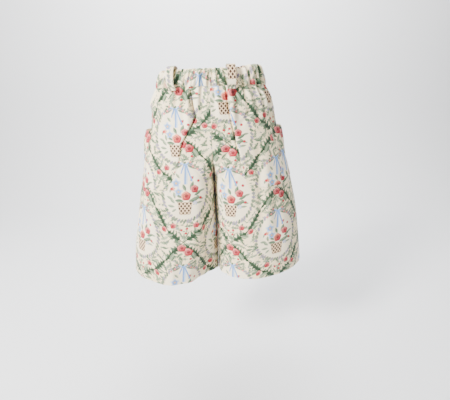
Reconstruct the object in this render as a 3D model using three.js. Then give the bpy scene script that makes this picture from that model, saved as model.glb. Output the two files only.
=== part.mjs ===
// Knee-length culottes as they hang on a wearer, hollow, in millimetres.
// +Z is up, the front faces -Y, and the origin is the middle of the waist opening,
// level with the top of the waistband. Left and right are the wearer's: left is +X.
// Every piece is a wall of cloth between an outer and an inner grid of points.

import * as THREE from "three";

const CLOTH = 1.8; // furnishing-weight cotton, as thick as it stands with its seam allowances
const SEAM_GAP = 0.3;

const BAND_HEIGHT = 45; // casing over 40 mm elastic
const BAND_WALL = 3; // two layers of cloth and the elastic
const LENGTH = 641; // top of the waistband to the hem at the front and back of each leg
const SIDE_LIFT = 18; // how much higher the flared hem hangs at the side seams

const CROTCH_DEPTH = 300; // top of the waistband to the point where the four panels meet
const FRONT_CURVE_START = 205; // where the centre front seam begins to turn under
const BACK_CURVE_START = 185; // where the centre back seam begins to turn under
const CROTCH_CURVE = 2.4; // how late and sharply it turns under

// Level sections of the garment at the height z: how far its side, front and back stand
// from the middle, how far from the middle each leg is deepest, and the exponent of the
// outline's rounded outer part (2 is an ellipse).
const BODY = [
  { z: 0, side: 143, front: 97, back: 97, deepest: 8, square: 2.3 },
  { z: -45, side: 160, front: 106, back: 108, deepest: 10, square: 2.3 },
  { z: -85, side: 180, front: 114, back: 122, deepest: 13, square: 2.3 },
  { z: -168, side: 194, front: 124, back: 137, deepest: 22, square: 2.25 },
  { z: -236, side: 214, front: 130, back: 138, deepest: 44, square: 2.2 },
  { z: -327, side: 238, front: 132, back: 132, deepest: 84, square: 2.1 },
  { z: -412, side: 256, front: 128, back: 127, deepest: 116, square: 2.05 },
  { z: -492, side: 269, front: 123, back: 122, deepest: 132, square: 2 },
  { z: -551, side: 278, front: 119, back: 119, deepest: 139, square: 1.92 },
  { z: -641, side: 287, front: 116, back: 116, deepest: 145, square: 1.85 },
];

// How far the inner side of each leg stands from the middle, below the crotch.
const INNER_LEG = [
  { z: -300, x: 0.15 },
  { z: -318, x: 2 },
  { z: -360, x: 3 },
  { z: -430, x: 2.8 },
  { z: -500, x: 1.5 },
  { z: -641, x: 2.2 },
];
const INNER_SQUARE = 3; // exponent of a leg's inner half, which presses on the other leg
const INNER_EASE_FROM = -360; // below this the inner half eases to the hemInner of its side

// The wearer's right leg stands a little forward and the left leg a little back.
// seam is the side seam's share of the way from centre front to centre back, hemInner the
// exponent of the leg's inner front at the hem, and gape how far the pocket stands open.
const SIDES = [
  { name: "left", x: 1, hemShift: 14, seam: 0.475, hemInner: 2.8, gape: 13 },
  { name: "right", x: -1, hemShift: -12, seam: 0.5, hemInner: 1.15, gape: 17 },
];

// Gathers below the elastic, which die out down the panels.
const GATHERS_PER_PANEL = 9;
const GATHER_DEPTH = 3.2;
const GATHER_FADE = 75;
const GATHER_UNEVENNESS = 0.3;
const GATHERS_IN_BAND = 0.45; // the elastic holds the casing's gathers flatter than those below

// The largest folds. Each one runs from `at` to `to`, which are shares of the way from
// centre front (0) to centre back (1), between two heights. A positive depth is a ridge.
const FOLDS = [
  { side: "right", at: 0.155, to: 0.15, top: -40, foot: -190, width: 9, depth: -9 },
  { side: "right", at: 0.125, to: 0.12, top: -40, foot: -180, width: 10, depth: 6 },
  { side: "right", at: 0.13, to: 0.015, top: -165, foot: -300, width: 11, depth: -5 },
  { side: "right", at: 0.4, to: 0.33, top: -48, foot: -120, width: 12, depth: -5 },
  { side: "right", at: 0.17, to: 0.15, top: -400, foot: -900, width: 28, depth: 13 },
  { side: "right", at: 0.48, to: 0.48, top: -85, foot: -200, width: 70, depth: -7 },
  { side: "right", at: 0.5, to: 0.5, top: -230, foot: -560, width: 90, depth: -5 },
  { side: "right", at: 0.3, to: 0.34, top: -380, foot: -860, width: 30, depth: -4 },
  { side: "left", at: 0.09, to: 0.095, top: -40, foot: -165, width: 9, depth: -9 },
  { side: "left", at: 0.12, to: 0.125, top: -40, foot: -160, width: 10, depth: 6 },
  { side: "left", at: 0.12, to: 0.015, top: -170, foot: -300, width: 12, depth: -4 },
  { side: "left", at: 0.46, to: 0.47, top: -80, foot: -600, width: 80, depth: 5 },
  { side: "left", at: 0.4, to: 0.38, top: -200, foot: -420, width: 14, depth: -3 },
  { side: "left", at: 0.22, to: 0.24, top: -420, foot: -860, width: 40, depth: 6 },
  { side: "right", at: 0.86, to: 0.86, top: -45, foot: -190, width: 11, depth: -7 },
  { side: "right", at: 0.92, to: 0.98, top: -180, foot: -300, width: 12, depth: -5 },
  { side: "right", at: 0.76, to: 0.74, top: -400, foot: -860, width: 34, depth: 7 },
  { side: "left", at: 0.88, to: 0.87, top: -45, foot: -175, width: 11, depth: -7 },
  { side: "left", at: 0.9, to: 0.98, top: -170, foot: -300, width: 12, depth: -5 },
  { side: "left", at: 0.72, to: 0.7, top: -420, foot: -860, width: 34, depth: 7 },
];

// Profile of the waistband: how far each height stands out from the section there.
const BAND_OUTSIDE = [
  { z: 0, out: 0.5 },
  { z: -12, out: 4 },
  { z: -33, out: 4 },
  { z: -45, out: 0 },
];
const BAND_INSIDE = [
  { z: -45, out: 0 },
  { z: -22, out: 4 },
  { z: 0, out: 0.5 },
];

const POCKET_TOP = -163;
const POCKET_BOTTOM = -312;
const POCKET_HALF_WIDTH = 73;
const POCKET_CORNER = 10; // how far the bottom corners are rounded up
const POCKET_CLEAR = 1.2;
const POCKET_COLUMNS = 20;
const POCKET_MOUTH_FADE = 95; // how far down the patch stands away from the panel

const LOOP_WIDTH = 23;
const LOOP_WALL = 2.4;
const LOOPS = [
  { name: "front_left", side: 1, back: false, from: 57 },
  { name: "front_right", side: -1, back: false, from: 101 },
  { name: "back_left", side: 1, back: true, from: 70 },
  { name: "back_right", side: -1, back: true, from: 70 },
];
// A loop's path, from its tacked foot up the outside and over the band's top edge:
// `out` is measured from the outermost of the waistband at the loop.
const LOOP_PATH = [
  { out: 1, z: -53 },
  { out: 1.6, z: -48 },
  { out: 7.6, z: -42 },
  { out: 11.4, z: -32 },
  { out: 12.2, z: -18 },
  { out: 11, z: -4 },
  { out: 8, z: 5 },
  { out: 2, z: 9.5 },
  { out: -6.5, z: 9 },
  { out: -12.5, z: 5 },
  { out: -15, z: -3 },
  { out: -15, z: -11 },
];

const QUARTER_STEPS = 40;
const PANEL_COLUMNS = 36;
const CURVE_ROWS = [0.34, 0.6, 0.8, 0.92, 1]; // shares of the drop from curve start to crotch
const ROWS_ABOVE = [-60, -78, -100, -128, -162, -205];
const ROWS_BELOW = [-330, -375, -430, -490, -550, -600, -LENGTH];

const print = new THREE.Color(0.8, 0.76, 0.69);
const printedCotton = new THREE.MeshStandardMaterial({ color: print, roughness: 0.82, metalness: 0 });

// A smooth curve through one column of a table at the height z (Catmull-Rom).
function tableAt(table, column, z) {
  const top = (k) => table[Math.min(Math.max(k, 0), table.length - 1)];
  let k = 0;
  while (k < table.length - 2 && z < table[k + 1].z) k++;
  const span = top(k + 1).z - top(k).z;
  const t = THREE.MathUtils.clamp((z - top(k).z) / span, 0, 1);
  const slope = (j) => {
    const rise = top(j + 1)[column] - top(j - 1)[column];
    const run = top(j + 1).z - top(j - 1).z;
    return run === 0 ? 0 : (rise / run) * span;
  };
  const a = top(k)[column];
  const b = top(k + 1)[column];
  const t2 = t * t;
  const t3 = t2 * t;
  return (
    a * (2 * t3 - 3 * t2 + 1) + b * (3 * t2 - 2 * t3) +
    slope(k) * (t3 - 2 * t2 + t) + slope(k + 1) * (t3 - t2)
  );
}

// How far the centre seam has turned under at the height z: 0 flat, 1 at the crotch.
function turnedUnder(z, curveStart) {
  const drop = THREE.MathUtils.clamp((-z - curveStart) / (CROTCH_DEPTH - curveStart), 0, 1);
  return drop ** CROTCH_CURVE;
}

// A quarter of a rounded outline, at an angle from 0 on the x side to a quarter turn on
// the y side.
function quarterPoint(centre, halfWidth, halfDepth, exponent, angle) {
  const power = 2 / exponent;
  const x = centre.x + halfWidth * Math.max(Math.cos(angle), 0) ** power;
  const y = centre.y + halfDepth * Math.max(Math.sin(angle), 0) ** power;
  return new THREE.Vector2(x, y);
}

// Half of the level section at z, from centre front or inseam round the side to centre
// back or inseam, as points in x and y and their distances along it.
const sections = new Map();
function sectionAt(side, z) {
  const key = side.name + z;
  if (sections.has(key)) return sections.get(key);
  const outer = tableAt(BODY, "side", z);
  const deepest = tableAt(BODY, "deepest", z);
  const square = tableAt(BODY, "square", z);
  const inner = Math.max(tableAt(INNER_LEG, "x", Math.min(z, -CROTCH_DEPTH)), SEAM_GAP / 2);
  const ease = THREE.MathUtils.smoothstep(-z, -INNER_EASE_FROM, LENGTH);
  const lean = Math.max(0, (-z - CROTCH_DEPTH) / (LENGTH - CROTCH_DEPTH)) ** 1.2;
  const halfFrom = (depth, curveStart) => {
    const seam = new THREE.Vector2(deepest, depth * (1 - turnedUnder(z, curveStart)));
    const innerSquare = THREE.MathUtils.lerp(INNER_SQUARE, depth < 0 ? side.hemInner : INNER_SQUARE, ease);
    const points = [];
    for (let k = 0; k < QUARTER_STEPS; k++) {
      const angle = (Math.PI / 2) * (k / QUARTER_STEPS);
      points.push(quarterPoint(seam, inner - deepest, depth - seam.y, innerSquare, angle));
    }
    for (let k = QUARTER_STEPS; k >= 0; k--) {
      const angle = (Math.PI / 2) * (k / QUARTER_STEPS);
      points.push(quarterPoint(new THREE.Vector2(deepest, 0), outer - deepest, depth, square, angle));
    }
    return points;
  };
  const front = halfFrom(-tableAt(BODY, "front", z), FRONT_CURVE_START);
  const back = halfFrom(tableAt(BODY, "back", z), BACK_CURVE_START);
  const points = [...front, ...back.reverse().slice(1)];
  for (const point of points) point.y += side.hemShift * lean;
  const along = [0];
  for (let k = 1; k < points.length; k++) along.push(along[k - 1] + points[k].distanceTo(points[k - 1]));
  const section = { points, along, length: along[along.length - 1] };
  sections.set(key, section);
  return section;
}

// The point of a section at the share q of its length, and the outward direction there.
function onSection(section, q) {
  const reach = THREE.MathUtils.clamp(q, 0, 1) * section.length;
  let k = 1;
  const last = section.points.length - 1;
  while (k < last && section.along[k] < reach) k++;
  const t = (reach - section.along[k - 1]) / (section.along[k] - section.along[k - 1]);
  const at = (j) => section.points[Math.min(Math.max(j, 0), last)];
  const here = at(k - 1).clone().lerp(at(k), t);
  const before = at(k - 3).clone().lerp(at(k - 2), t);
  const after = at(k + 1).clone().lerp(at(k + 2), t);
  const tangent = after.sub(before).normalize();
  return { here, outward: new THREE.Vector2(tangent.y, -tangent.x) };
}

// How much higher than the level z the cloth hangs towards the side seam.
function lift(side, q, z) {
  const low = THREE.MathUtils.clamp((-z - CROTCH_DEPTH) / (LENGTH - CROTCH_DEPTH), 0, 1);
  const nearSide = 1 - THREE.MathUtils.smoothstep(Math.abs(q - side.seam), 0, 0.32);
  return SIDE_LIFT * low * low * nearSide;
}

// How far the gathers and folds move the cloth outwards.
function relief(side, q, z, length) {
  const uneven = GATHER_UNEVENNESS * Math.sin(11 * q + 2 * side.x);
  const wave = Math.cos(2 * Math.PI * (2 * GATHERS_PER_PANEL * q + uneven));
  const below = Math.max(0, -z - BAND_HEIGHT) / GATHER_FADE;
  const onElastic = THREE.MathUtils.smoothstep(z, -BAND_HEIGHT, -BAND_HEIGHT + 12);
  const held = THREE.MathUtils.lerp(1, GATHERS_IN_BAND, onElastic);
  let out = wave * held * GATHER_DEPTH * Math.exp(-below * below);
  for (const fold of FOLDS) {
    if (fold.side !== side.name || z > fold.top || z < fold.foot) continue;
    const t = (z - fold.top) / (fold.foot - fold.top);
    const swell = THREE.MathUtils.smoothstep(t, 0, 0.25) * (1 - THREE.MathUtils.smoothstep(t, 0.6, 1));
    const across = ((q - THREE.MathUtils.lerp(fold.at, fold.to, t)) * length) / fold.width;
    out += fold.depth * swell * Math.exp(-across * across);
  }
  return out;
}

// A point of the garment's outer face, in space. `out` moves it off that face. The height
// z is the one at the legs' fronts and backs, and towards the side seam the cloth hangs higher.
function clothAt(side, q, z, out = 0) {
  const section = sectionAt(side, z);
  const { here, outward } = onSection(section, q);
  const seamEase = THREE.MathUtils.smoothstep(Math.min(q, 1 - q) * section.length, 0, 14);
  here.addScaledVector(outward, relief(side, q, z, section.length) * seamEase + out);
  return new THREE.Vector3(side.x * Math.max(here.x, SEAM_GAP / 2), here.y, z + lift(side, q, z));
}

// The outward normal of the cloth at q and z.
function normalAt(side, q, z) {
  const dq = 0.004;
  const dz = 2.5;
  const qa = Math.max(q - dq, 0);
  const qb = Math.min(q + dq, 1);
  const across = clothAt(side, qb, z).sub(clothAt(side, qa, z));
  const low = Math.max(z - dz, -LENGTH);
  const high = Math.min(z + dz, -BAND_HEIGHT);
  const down = clothAt(side, q, low).sub(clothAt(side, q, high));
  return down.cross(across).multiplyScalar(side.x).normalize();
}

// A closed wall between two grids of points, [row][column], outer and inner. With
// `mirrored`, the columns run the other way round as seen from outside.
function wall(outer, inner, mirrored) {
  const rows = outer.length;
  const columns = outer[0].length;
  const points = [...outer.flat(), ...inner.flat()];
  const index = [];
  const face = (a, b, c, d) => {
    const corners = mirrored ? [a, c, b, a, d, c] : [a, b, c, a, c, d];
    index.push(...corners);
  };
  const out = (r, c) => r * columns + c;
  const back = (r, c) => rows * columns + out(r, c);
  for (let r = 0; r < rows - 1; r++) {
    for (let c = 0; c < columns - 1; c++) {
      face(out(r, c), out(r + 1, c), out(r + 1, c + 1), out(r, c + 1));
      face(back(r, c), back(r, c + 1), back(r + 1, c + 1), back(r + 1, c));
    }
    face(out(r, 0), back(r, 0), back(r + 1, 0), out(r + 1, 0));
    const last = columns - 1;
    face(out(r, last), out(r + 1, last), back(r + 1, last), back(r, last));
  }
  for (let c = 0; c < columns - 1; c++) {
    face(out(0, c), out(0, c + 1), back(0, c + 1), back(0, c));
    const last = rows - 1;
    face(out(last, c), back(last, c), back(last, c + 1), out(last, c + 1));
  }
  return closedGeometry(points, index);
}

// A closed ring through loops of points, which run round it; the last joins the first.
function ring(loops) {
  const rows = loops.length;
  const columns = loops[0].length;
  const index = [];
  for (let r = 0; r < rows; r++) {
    for (let c = 0; c < columns; c++) {
      const a = r * columns + c;
      const b = ((r + 1) % rows) * columns + c;
      const right = (c + 1) % columns;
      index.push(a, b, b - c + right, a, b - c + right, a - c + right);
    }
  }
  return closedGeometry(loops.flat(), index);
}

function closedGeometry(points, index) {
  const geometry = new THREE.BufferGeometry().setFromPoints(points);
  geometry.setIndex(index);
  geometry.computeVertexNormals();
  return geometry;
}

const culottes = new THREE.Group();
culottes.name = "culottes";

function addPiece(name, geometry) {
  const piece = new THREE.Mesh(geometry, printedCotton);
  piece.name = name;
  culottes.add(piece);
}

// The heights of the rows of every panel.
function panelRows() {
  const curve = CURVE_ROWS.map((share) => -(FRONT_CURVE_START + share * (CROTCH_DEPTH - FRONT_CURVE_START)));
  return [-BAND_HEIGHT - SEAM_GAP, ...ROWS_ABOVE, ...curve, ...ROWS_BELOW];
}

// A leg panel: half of one leg and of its side of the hips, from centre seam and inseam
// to the side seam.
function panelGrids(side, isBack) {
  const outer = [];
  const inner = [];
  for (const z of panelRows()) {
    const length = sectionAt(side, z).length;
    const seamEdge = SEAM_GAP / 2 / length;
    const from = isBack ? side.seam + seamEdge : 0;
    const to = isBack ? 1 : side.seam - seamEdge;
    const face = [];
    const lining = [];
    for (let c = 0; c <= PANEL_COLUMNS; c++) {
      const q = THREE.MathUtils.lerp(from, to, c / PANEL_COLUMNS);
      const point = clothAt(side, q, z);
      const normal = normalAt(side, q, z);
      const under = point.clone().addScaledVector(normal, -CLOTH);
      under.z = point.z;
      const centreEdge = q === 0 || q === 1;
      if (centreEdge && z <= -CROTCH_DEPTH) {
        const apart = (isBack ? 1 : -1) * (SEAM_GAP / 2);
        point.y += apart;
        under.y = point.y;
      }
      under.x = side.x * Math.max(side.x * under.x, SEAM_GAP / 2);
      face.push(point);
      lining.push(under);
    }
    outer.push(face);
    inner.push(lining);
  }
  return { outer, inner };
}

for (const side of SIDES) {
  side.panels = { front: panelGrids(side, false), back: panelGrids(side, true) };
  for (const [part, { outer, inner }] of Object.entries(side.panels)) {
    addPiece(part + "_" + side.name, wall(outer, inner, side.x < 0));
  }
}

// The point on the panels' outer faces at the height z and the share q of the way round.
function onPanels(side, q, z) {
  const heights = panelRows();
  const r = Math.min(heights.findLastIndex((height) => height >= z), heights.length - 2);
  const down = (z - heights[r]) / (heights[r + 1] - heights[r]);
  const isBack = q > side.seam;
  const rows = side.panels[isBack ? "back" : "front"].outer;
  const share = isBack ? (q - side.seam) / (1 - side.seam) : q / side.seam;
  const c = Math.min(Math.floor(share * PANEL_COLUMNS), PANEL_COLUMNS - 1);
  const right = share * PANEL_COLUMNS - c;
  const upper = rows[r][c].clone().lerp(rows[r][c + 1], right);
  const lower = rows[r + 1][c].clone().lerp(rows[r + 1][c + 1], right);
  return upper.lerp(lower, down);
}

// The waistband: one gathered ring round both sides.
function bandLoop(z, out) {
  const [left, right] = SIDES;
  const half = 2 * PANEL_COLUMNS;
  const loop = [];
  const gather = (side, q) => clothAt(side, q, z, out);
  for (let c = 0; c < half; c++) loop.push(gather(left, c / half));
  for (let c = 0; c < half; c++) loop.push(gather(right, 1 - c / half));
  return loop;
}
const bandLoops = [
  ...BAND_OUTSIDE.map((row) => bandLoop(row.z, row.out)),
  ...BAND_INSIDE.map((row) => bandLoop(row.z, row.out - BAND_WALL)),
];
addPiece("waistband", ring(bandLoops));

// A belt loop: a folded strip over a straight path in a plane square to the waistband.
for (const loop of LOOPS) {
  const side = SIDES.find((s) => s.x === loop.side);
  const at = (z) => {
    const section = sectionAt(side, z);
    const share = loop.from / section.length;
    return onSection(section, loop.back ? 1 - share : share);
  };
  const { outward } = at(-BAND_HEIGHT / 2);
  const along = new THREE.Vector2(-outward.y, outward.x);
  const strip = (lift) =>
    LOOP_PATH.map((row, k) => {
      const before = LOOP_PATH[Math.max(k - 1, 0)];
      const after = LOOP_PATH[Math.min(k + 1, LOOP_PATH.length - 1)];
      const run = new THREE.Vector2(after.out - before.out, after.z - before.z).normalize();
      const out = row.out + GATHER_DEPTH + 4 + run.y * lift;
      const z = row.z - run.x * lift;
      const base = at(Math.min(row.z, 0)).here;
      return [-0.5, 0.5].map((edge) => {
        const x = base.x + outward.x * out + along.x * edge * LOOP_WIDTH;
        const y = base.y + outward.y * out + along.y * edge * LOOP_WIDTH;
        return new THREE.Vector3(side.x * x, y, z);
      });
    });
  const geometry = wall(strip(LOOP_WALL), strip(0), side.x > 0);
  addPiece("belt_loop_" + loop.name, geometry);
}

// A patch pocket over the side seam, made from the panels' own points moved out. It is
// sewn down at its sides and foot and stands away at its mouth.
for (const side of SIDES) {
  const between = panelRows().filter((z) => z < POCKET_TOP && z > POCKET_BOTTOM + POCKET_CORNER + 2);
  const rows = [POCKET_TOP, ...between, POCKET_BOTTOM];
  const grid = (lift) =>
    rows.map((level) => {
      const line = [];
      for (let c = 0; c <= POCKET_COLUMNS; c++) {
        const across = (2 * c) / POCKET_COLUMNS - 1;
        const z = level === POCKET_BOTTOM ? level + POCKET_CORNER * across ** 6 : level;
        const length = sectionAt(side, z).length;
        const q = side.seam + (across * POCKET_HALF_WIDTH) / length;
        const fade = 1 - THREE.MathUtils.smoothstep(POCKET_TOP - z, 0, POCKET_MOUTH_FADE);
        const gape = side.gape * fade * (1 - across * across) ** 1.5;
        const point = onPanels(side, q, z);
        const normal = normalAt(side, q, z);
        normal.z = 0;
        normal.normalize();
        point.addScaledVector(normal, POCKET_CLEAR + gape + lift);
        line.push(point);
      }
      return line;
    });
  addPiece("pocket_" + side.name, wall(grid(CLOTH), grid(0), side.x < 0));
}

export default culottes;
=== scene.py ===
import functools
import math

import bpy
import numpy as np
from mathutils import Matrix, Vector


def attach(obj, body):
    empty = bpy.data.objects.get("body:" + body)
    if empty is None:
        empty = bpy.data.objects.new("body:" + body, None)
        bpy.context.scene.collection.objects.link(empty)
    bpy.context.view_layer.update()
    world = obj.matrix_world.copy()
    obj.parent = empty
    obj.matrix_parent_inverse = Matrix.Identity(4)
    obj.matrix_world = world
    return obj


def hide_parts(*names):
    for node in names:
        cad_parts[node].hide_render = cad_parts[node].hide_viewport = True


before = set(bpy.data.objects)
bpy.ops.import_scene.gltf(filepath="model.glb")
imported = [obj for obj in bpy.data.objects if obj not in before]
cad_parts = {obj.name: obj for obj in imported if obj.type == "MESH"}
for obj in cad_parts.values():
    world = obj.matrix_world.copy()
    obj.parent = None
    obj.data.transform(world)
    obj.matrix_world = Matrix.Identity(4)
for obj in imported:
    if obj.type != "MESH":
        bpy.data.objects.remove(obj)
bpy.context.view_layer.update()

# ==========================================================================================
# Leg panels. Four pieces of mid-weight furnishing cotton, a front and a back for each leg,
# cut flared with a curved crotch seam. The hem is turned up once and topstitched, and the
# cloth hangs from the gathers at the waist in soft folds. Sizes are in millimetres.

MM = 0.001
CLOTH = 0.8
SEAM_GAP = 0.3
BAND_HEIGHT = 45.0
LENGTH = 641.0
SIDE_LIFT = 18.0
CROTCH_DEPTH = 300.0
FRONT_CURVE_START = 205.0
BACK_CURVE_START = 185.0
CROTCH_CURVE = 2.4

# Level sections of the garment: how far its side, front and back stand from the middle at
# the height z, how far from the middle each leg is deepest, and how square its outer part is.
BODY = [
    dict(z=0, side=143, front=97, back=97, deepest=8, square=2.3),
    dict(z=-45, side=160, front=106, back=108, deepest=10, square=2.3),
    dict(z=-85, side=180, front=114, back=122, deepest=13, square=2.3),
    dict(z=-168, side=194, front=124, back=137, deepest=22, square=2.25),
    dict(z=-236, side=214, front=130, back=138, deepest=44, square=2.2),
    dict(z=-327, side=238, front=132, back=132, deepest=84, square=2.1),
    dict(z=-412, side=256, front=128, back=127, deepest=116, square=2.05),
    dict(z=-492, side=269, front=123, back=122, deepest=132, square=2),
    dict(z=-551, side=278, front=119, back=119, deepest=139, square=1.92),
    dict(z=-641, side=287, front=116, back=116, deepest=145, square=1.85),
]
INNER_SQUARE = 3.0
INNER_EASE_FROM = 360.0

# The wearer's right leg hangs a little forward and the left a little back.
SIDES = {
    "left": dict(x=1, hem_shift=14, seam=0.475, hem_inner=2.8, gape=13),
    "right": dict(x=-1, hem_shift=-12, seam=0.5, hem_inner=1.15, gape=17),
}

GATHERS_PER_PANEL = 9
GATHER_DEPTH = 3.2
GATHER_FADE = 75.0
GATHER_UNEVENNESS = 0.3
GATHERS_IN_BAND = 0.45

# Folds and creases. Each runs from `at` to `to`, shares of the way from centre front (0)
# round to centre back (1), between the heights top and foot. A positive depth is a ridge.
FOLDS = [dict(zip(("side", "at", "to", "top", "foot", "width", "depth"), row)) for row in (
    ("right", 0.125, 0.12, -40, -180, 10, 6),
    ("right", 0.13, 0.015, -165, -300, 11, -5),
    ("right", 0.4, 0.33, -48, -120, 12, -5),
    ("right", 0.17, 0.15, -400, -900, 28, 13),
    ("right", 0.48, 0.48, -85, -200, 70, -7),
    ("right", 0.5, 0.5, -230, -560, 90, -5),
    ("right", 0.3, 0.34, -380, -860, 30, -4),
    ("left", 0.09, 0.095, -40, -165, 7, -4),
    ("left", 0.12, 0.125, -40, -160, 10, 6),
    ("left", 0.12, 0.015, -170, -300, 12, -4),
    ("left", 0.46, 0.47, -80, -600, 80, 5),
    ("left", 0.4, 0.38, -200, -420, 14, -3),
    ("left", 0.22, 0.24, -420, -860, 40, 6),
    ("right", 0.86, 0.86, -45, -190, 11, -7),
    ("right", 0.92, 0.98, -180, -300, 12, -5),
    ("right", 0.76, 0.74, -400, -860, 34, 7),
    ("left", 0.88, 0.87, -45, -175, 11, -7),
    ("left", 0.9, 0.98, -170, -300, 12, -5),
    ("left", 0.72, 0.7, -420, -860, 34, 7),
)]

# Small sharp pinches under the band, as shares round each side, each with its own length.
PINCHES = {
    "right": ((0.028, 52, 2.6), (0.052, 74, 3.4), (0.082, 44, 2.2), (0.112, 60, 2.8), (0.2, 66, 3.4),
              (0.232, 40, 2.4), (0.262, 84, 3.6), (0.298, 48, 2.4), (0.325, 70, 3.2), (0.372, 92, 3.8),
              (0.41, 50, 2.6), (0.452, 64, 3.0), (0.52, 58, 3.2), (0.56, 82, 3.4), (0.61, 48, 2.6),
              (0.66, 72, 3.4), (0.715, 54, 2.8), (0.765, 90, 3.6), (0.82, 60, 3.0), (0.9, 46, 2.4),
              (0.95, 66, 3.0)),
    "left": ((0.03, 60, 3.0), (0.058, 46, 2.4), (0.15, 58, 3.0), (0.178, 88, 3.8), (0.212, 44, 2.4),
             (0.245, 70, 3.2), (0.285, 52, 2.8), (0.315, 96, 3.8), (0.35, 48, 2.4), (0.392, 76, 3.4),
             (0.44, 56, 2.8), (0.51, 64, 3.0), (0.555, 44, 2.6), (0.6, 86, 3.6), (0.65, 58, 2.8),
             (0.7, 74, 3.4), (0.755, 50, 2.6), (0.81, 80, 3.4), (0.85, 46, 2.6), (0.93, 62, 3.0)),
}
PINCH_WIDTH = 4.6

# Softer creases, by how far out from the middle they start and end, in millimetres.
CREASES = [dict(zip(("side", "out", "top", "foot", "width", "depth"), row)) for row in (
    ("right", (150, 92), -92, -150, 8, -3.2),
    ("right", (168, 112), -112, -176, 9, -2.6),
    ("right", (60, 10), -250, -318, 7, -2.6),
    ("right", (84, 22), -262, -372, 9, -2.2),
    ("right", (30, 34), -328, -760, 11, -4.6),
    ("right", (52, 50), -330, -700, 13, 3.0),
    ("right", (150, 168), -320, -640, 15, -4.0),
    ("right", (178, 205), -340, -600, 14, 2.6),
    ("left", (128, 142), -170, -560, 12, -4.6),
    ("left", (150, 166), -180, -560, 14, 3.0),
    ("left", (56, 8), -246, -316, 7, -2.6),
    ("left", (80, 16), -262, -350, 9, -2.0),
    ("left", (16, 15), -336, -760, 9, -3.6),
    ("left", (176, 208), -330, -600, 15, -3.0),
    ("left", (120, 74), -100, -160, 8, -2.8),
    ("left", (150, 118), -84, -136, 7, -2.4),
)]

# The sharp folds where the front's fullness is lapped over: (height, how far out they lie).
FOLD_EDGE = {
    "right": ((-46, 57), (-92, 52), (-126, 45), (-165, 68), (-195, 86), (-250, 98),
              (-304, 121), (-337, 140), (-385, 156)),
    "left": ((-42, 46), (-101, 51), (-130, 56), (-181, 66), (-244, 80), (-299, 90),
             (-345, 103), (-385, 112)),
}
FOLD_FOOT = -345.0
FOLD_SPREAD = (95.0, 330.0)
FOLD_FRONT = 0.4
FOLD_VALLEY = 10.5
FOLD_VALLEY_IN = 2.6
FOLD_VALLEY_WIDTH = 2.7
FOLD_LIP = 3.2
FOLD_LIP_WIDTH = 15.0

# Seams sink a little into the cloth, and the hem puckers along its stitches.
SEAM_DIP = 0.9
SEAM_DIP_WIDTH = 2.4
HEM = 28.0
HEM_DIP_WIDTH = 1.8
HEM_PUCKER = 0.35
HEM_PUCKER_PITCH = 5.2

QUARTER_STEPS = 90
PANEL_COLUMNS = 170
ROWS = [(-45.3, 26), (-110, 26), (-205, 34), (-280, 20), (-300, 54), (-600, 28), (-LENGTH, 0)]
HEM_TURN = [(-0.3, 0.5), (-0.1, 1.3), (1.0, 2.0), (6.0, 2.1), (13.0, 2.1), (20.0, 2.1), (HEM - 1, 2.05)]


def smoothstep(value, low, high):
    """0 up to low, 1 from high on, and smooth between them."""
    t = np.clip((value - low) / (high - low), 0, 1)
    return t * t * (3 - 2 * t)


def table_at(table, column, z):
    """A smooth curve through one column of a table, read at the height z."""
    last = len(table) - 1
    k = 0
    while k < last - 1 and z < table[k + 1]["z"]:
        k += 1
    span = table[k + 1]["z"] - table[k]["z"]
    t = min(max((z - table[k]["z"]) / span, 0), 1)

    def slope(j):
        before, after = table[max(j - 1, 0)], table[min(j + 1, last)]
        return (after[column] - before[column]) / (after["z"] - before["z"]) * span

    a, b = table[k][column], table[k + 1][column]
    ease = t * t * (3 - 2 * t)
    return a + (b - a) * ease + slope(k) * (t ** 3 - 2 * t * t + t) + slope(k + 1) * (t ** 3 - t * t)


def run_along(line):
    """The length run from the start of a line of points to each of them."""
    return np.concatenate([[0], np.cumsum(np.hypot(*np.diff(line, axis=0).T))])


@functools.cache
def section(side_name, z):
    """Half of the level section at z, from centre front or inseam round to centre back."""
    side = SIDES[side_name]
    outer = table_at(BODY, "side", z)
    deepest = table_at(BODY, "deepest", z)
    square = table_at(BODY, "square", z)
    ease = smoothstep(-z, INNER_EASE_FROM, LENGTH)
    lean = max(0, (-z - CROTCH_DEPTH) / (LENGTH - CROTCH_DEPTH)) ** 1.2
    turn = np.linspace(0, math.pi / 2, QUARTER_STEPS + 1)

    def half(depth, curve_start, hem_inner):
        drop = min(max((-z - curve_start) / (CROTCH_DEPTH - curve_start), 0), 1)
        seam = depth * (1 - drop ** CROTCH_CURVE)
        power = 2 / (INNER_SQUARE + (hem_inner - INNER_SQUARE) * ease)
        near = np.stack([
            deepest + (SEAM_GAP / 2 - deepest) * np.maximum(np.cos(turn), 0) ** power,
            seam + (depth - seam) * np.sin(turn) ** power,
        ], axis=1)
        far = np.stack([
            deepest + (outer - deepest) * np.maximum(np.cos(turn), 0) ** (2 / square),
            depth * np.sin(turn) ** (2 / square),
        ], axis=1)
        return np.concatenate([near[:-1], far[::-1]])

    front = half(-table_at(BODY, "front", z), FRONT_CURVE_START, side["hem_inner"])
    back = half(table_at(BODY, "back", z), BACK_CURVE_START, INNER_SQUARE)
    outline = np.concatenate([front, back[::-1][1:]])
    outline[:, 1] += side["hem_shift"] * lean
    return outline, run_along(outline)


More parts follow.
